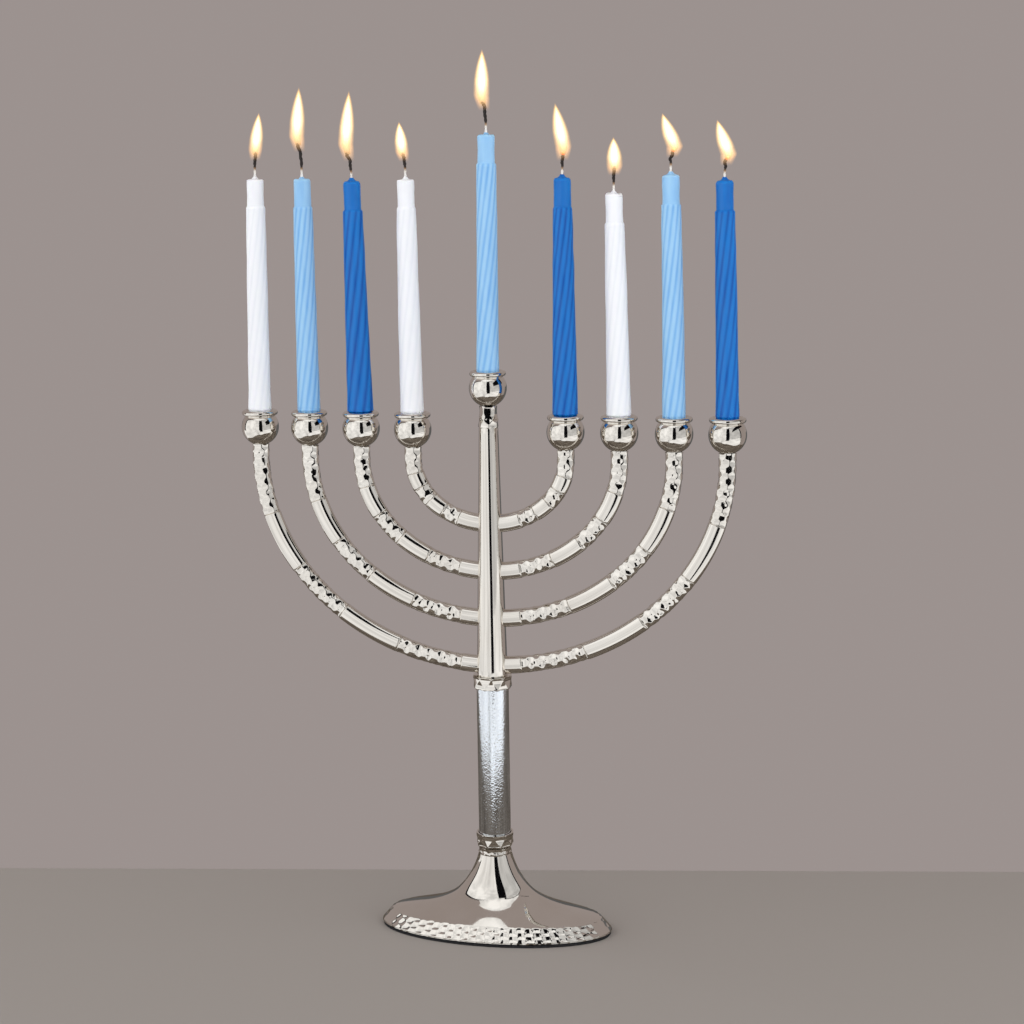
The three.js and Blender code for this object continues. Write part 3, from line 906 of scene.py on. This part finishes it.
def flame_materials():
    """Veils of fire from the thin amber outside to the white-hot core."""
    made = []
    for k in range(FLAME_VEILS):
        core = k / (FLAME_VEILS - 1)
        low = (1.0, 0.56 + 0.12 * core, 0.26 + 0.1 * core)
        middle = (1.0, 0.62 + 0.26 * core, 0.24 + 0.5 * core)
        high = (1.0, 0.55 + 0.25 * core, 0.16 + 0.3 * core)
        stops = [(0.0, low), (0.22, low), (0.42, middle), (0.8, middle), (1.0, high)]
        dense = 0.10 + 0.32 * core
        alpha = [(0.0, 0.0), (0.12, 0.05), (0.22, 0.10), (0.38, 0.6 * dense), (0.5, dense),
                 (0.9, dense), (1.0, 0.5 * dense)]
        made.append(flame_material(f"flame_{k + 1}", stops, alpha, 1.6 + 1.4 * core))
    return made


def build_flame(place, veils):
    """A flame of nested veils, each shorter and narrower than the one round it."""
    candle = CANDLES[place]
    height = candle.flame
    wick_x, _, wick_z = wick_point(place, 1)
    foot = wick_z - FLAME_START
    top = wick_z + height
    around = 36
    angle = np.arange(around) * TURN / around
    t = np.linspace(0, 1, 44)
    for k, material in enumerate(veils):
        core = k / (FLAME_VEILS - 1)
        low = foot + (2.6 * core**1.2) * (1 + height / 30)
        high = top - height * 0.16 * core
        width = candle.half_flame * (1 - 0.72 * core)
        under = 0.66 + 0.34 * np.sin(math.pi / 2 * np.clip(t / FLAME_WIDEST, 0, 1))
        above = 1 - np.clip((t - FLAME_WIDEST) / (1 - FLAME_WIDEST), 0, 1) ** 2.1
        radius = width * under * above
        radius[-1] = 0.02
        z = low + (high - low) * t
        rise = np.clip((z - foot) / (top - foot), 0, 1)
        x = np.interp(rise, [0, 0.25, 1], [0.35 * wick_x, wick_x, wick_x + candle.sway])
        rows = np.stack([
            x[:, None] + radius[:, None] * np.cos(angle),
            0.85 * radius[:, None] * np.sin(angle),
            np.repeat(z[:, None], around, 1),
        ], -1)
        values = {"height": np.repeat(rise[:, None], around, 1)}
        name = f"flame_{place}_{k + 1}"
        piece = skin(name, leaned(rows, place), material, (True, True), values, crease=180)
        piece.visible_shadow = False
        settle(piece, "candle_" + place, None)


# ---------------------------------------------------------------- stage


def plain_material(name, colour):
    """One dull colour with no shine."""
    material, shader = new_material(name)
    shader.inputs["Base Color"].default_value = (*colour, 1)
    shader.inputs["Roughness"].default_value = 1
    shader.inputs["Specular IOR Level"].default_value = 0
    return material


def card_material(name, low, high):
    """A glowing card whose light drifts softly between two strengths."""
    material = bpy.data.materials.new(name)
    material.use_nodes = True
    material.node_tree.nodes.clear()
    output = add_node(material, "ShaderNodeOutputMaterial")
    strength = ramp(material, noise(material, 3.5, 2), [(0.35, low), (0.65, high)])
    inputs = {"Color": (0.985, 0.99, 1.0, 1), "Strength": strength}
    glow = add_node(material, "ShaderNodeEmission", inputs)
    link(material, glow.outputs[0], output.inputs["Surface"])
    return material


def table_material():
    """Brown boards with a pale grain that runs from side to side."""
    material, shader = new_material("mirrored_table")
    grain = noise(material, 40, 4, (0.12, 1, 1), 0.7)
    stops = [(0.35, (0.080, 0.067, 0.054)), (0.5, (0.165, 0.143, 0.120)), (0.68, (0.32, 0.29, 0.25))]
    link(material, ramp(material, grain, stops), shader.inputs["Base Color"])
    shader.inputs["Roughness"].default_value = 1
    shader.inputs["Specular IOR Level"].default_value = 0
    return material


def set_unseen(card, lamp):
    """A stage piece that the camera doesn't see: a lamp that lights the wax and the floor
    and shows in no mirror, or a card that shows only in mirrors."""
    card.visible_camera = False
    card.visible_glossy = not lamp
    if not lamp:
        card.visible_diffuse = False
        card.visible_shadow = False


def stand_card(name, facing, distance, start, end, low, tops, material, lamp=False):
    """An upright card square to one direction from the column, between two other directions,
    with a level foot and the heights of its two upper corners."""
    a = math.radians(facing)
    out = np.array([math.sin(a), -math.cos(a), 0]) * distance
    side = np.array([math.cos(a), math.sin(a), 0]) * distance
    first, last = (math.tan(math.radians(edge - facing)) for edge in (start, end))
    points = []
    for share, z in ((first, low), (last, low), (last, tops[1]), (first, tops[0])):
        points.append(out + side * share + np.array([0, 0, z]))
    set_unseen(add_mesh(name, points, [[0, 1, 2, 3]], material), lamp)


def framed_card(name, facing, distance, start, end, low, tops, material, dark):
    """A glowing card on a slightly larger dark board, which outlines it."""
    behind, taller = 5, 45
    stand_card(name, facing, distance, start, end, low, tops, material)
    board_tops = [z + taller for z in tops]
    stand_card(name + "_board", facing, distance + behind, start - 6, end + 7, low, board_tops, dark)


def flat_card(name, corners, height, material, lamp=False):
    """A level sheet with the given corners."""
    points = [(x, y, height) for x, y in corners]
    set_unseen(add_mesh(name, points, [list(range(len(points)))], material), lamp)


def slanted_card(name, start, end, near, far, rise, material):
    """A card that rises away from the middle of the base, between two directions: the arms see
    it broad and the base sees its edge."""
    foot = 10
    points = []
    for direction, distance in ((start, near), (end, near), (end, far), (start, far)):
        a = math.radians(direction)
        points.append((math.sin(a) * distance, -math.cos(a) * distance, foot + rise * distance))
    set_unseen(add_mesh(name, points, [[0, 1, 2, 3]], material), False)


def ahead(near, far, half_side, azimuth):
    """Corners of a rectangle in front of the column, square to one direction."""
    out = np.array([math.sin(azimuth), -math.cos(azimuth)])
    side = np.array([math.cos(azimuth), math.sin(azimuth)]) * half_side
    return [out * near - side, out * near + side, out * far + side, out * far - side]


def build_floor():
    """A plain pale board, with its back edge a little behind the base."""
    thickness = 12
    top = [np.array([*p, 0.0]) for p in ahead(490, -66, 900, FLOOR_AZIMUTH)]
    points = top + [p - np.array([0, 0, thickness]) for p in top]
    faces = [[0, 1, 2, 3], [4, 7, 6, 5], [0, 4, 5, 1], [1, 5, 6, 2], [2, 6, 7, 3], [3, 7, 4, 0]]
    material = plain_material("floor", (0.36, 0.33, 0.305))
    add_mesh("floor", points, faces, material, crease=30)


def build_lamps():
    """Soft light from the left, the right and above, for the wax and the floor."""
    lamp = card_material("lamp_strong", 1.55, 1.55)
    side_lamp = card_material("lamp_soft", 1.95, 1.95)
    stand_card("lamp_left", -62, 650, -115, 1, CARD_FOOT, (950, 950), lamp, True)
    stand_card("lamp_right", 35, 700, 25, 106, CARD_FOOT, (960, 960), side_lamp, True)
    flat_card("lamp_over", ahead(527, 950, 900, LOOK_AZIMUTH), OVERHEAD, lamp, True)


def build_mirrored():
    """What the polished metal mirrors: a brown table on a white sheet, tall pale cards with dark
    edges at the left, the front and the right, a dark board that slants up at the right, and
    a dim room behind."""
    bright = card_material("card_bright", 0.74, 1.12)
    soft = card_material("card_soft", 0.48, 0.70)
    dim = card_material("card_dim", 0.09, 0.13)
    dark = plain_material("dark_room", (0.004, 0.004, 0.005))
    table = table_material()
    flat_card("sheet_front", ((-900, -900), (900, -900), (900, -11), (-900, 185)), 0.5, bright)
    edge = ((-330, 60), (-232, -62), (-165, -165), (-85, -218), (-30, -190), (45, -186), (90, -192),
            (165, -142), (225, -60), (320, 40), (320, 400), (-330, 400))
    flat_card("table_mirrored", edge, 1.0, table)
    flat_card("sheet_gap", ((45, -400), (190, -390), (430, -900), (75, -900)), 1.5, dark)
    flat_card("sheet_seam", ((-54, -192), (-44, -188), (-82, -330), (-95, -330)), 1.5, dark)
    framed_card("card_left", -55, 650, -84, -16, CARD_FOOT, (500, 950), bright, dark)
    stand_card("card_front", -6, 817, -24, 4, CARD_FOOT, (1100, 1100), bright)
    framed_card("card_right", 35, 700, 25.5, 88, CARD_FOOT, (960, 860), soft, dark)
    slanted_card("slanted_board", 48, 118, 300, 1000, 0.95, dark)
    stand_card("room_behind", 180, 900, 140, 222, -900, (170, 170), dim)
    stand_card("dark_flag", 13, 950, -8, 35, -900, (OVERHEAD, OVERHEAD), dark)
    flat_card("card_over", ahead(510, 960, 900, LOOK_AZIMUTH), OVERHEAD, bright)


def build_world():
    """A plain wall colour all round."""
    world = bpy.data.worlds.new("studio")
    bpy.context.scene.world = world
    world.use_nodes = True
    background = world.node_tree.nodes["Background"]
    background.inputs["Color"].default_value = (0.332, 0.288, 0.276, 1)
    background.inputs["Strength"].default_value = 1.0
    bpy.context.scene.view_settings.view_transform = "Standard"


def build_camera():
    """The camera, placed and turned about the middle of the base."""
    data = bpy.data.cameras.new("camera")
    data.lens = CAMERA_LENS
    data.sensor_width = SENSOR_WIDTH
    camera = bpy.data.objects.new("camera", data)
    bpy.context.scene.collection.objects.link(camera)
    forward = Vector((-math.sin(LOOK_AZIMUTH) * math.cos(LOOK_DOWN),
                      math.cos(LOOK_AZIMUTH) * math.cos(LOOK_DOWN),
                      -math.sin(LOOK_DOWN)))
    right = Vector((math.cos(LOOK_AZIMUTH), math.sin(LOOK_AZIMUTH), 0))
    up = right.cross(forward)
    c, s = math.cos(CAMERA_ROLL), math.sin(CAMERA_ROLL)
    side, top = right * c - up * s, up * c + right * s
    turn = Matrix((side, top, -forward)).transposed().to_4x4()
    place = Vector((CAMERA_DISTANCE * math.sin(CAMERA_AZIMUTH),
                    -CAMERA_DISTANCE * math.cos(CAMERA_AZIMUTH), CAMERA_HEIGHT)) * MM
    camera.matrix_world = Matrix.Translation(place) @ turn
    bpy.context.scene.camera = camera


# ---------------------------------------------------------------- the whole


build_camera()
build_world()
build_base()
build_lower_collar()
build_upper_collar()
build_tube()
build_column()
for pair in range(len(ARM_REACH)):
    build_arm(pair, -1)
    build_arm(pair, 1)
veils = flame_materials()
for index, place in enumerate(CANDLES):
    build_cup(place)
    build_candle(place, index)
    build_wick(place, index)
    build_flame(place, veils)
# The hidden fasteners keep their CAD shapes and only get their material.
for name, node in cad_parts.items():
    if name.startswith("cup_screw_") or name in ("tie_rod", "base_nut", "base_washer"):
        node.data.materials.clear()
        node.data.materials.append(plated_steel)
build_floor()
build_lamps()
build_mirrored()
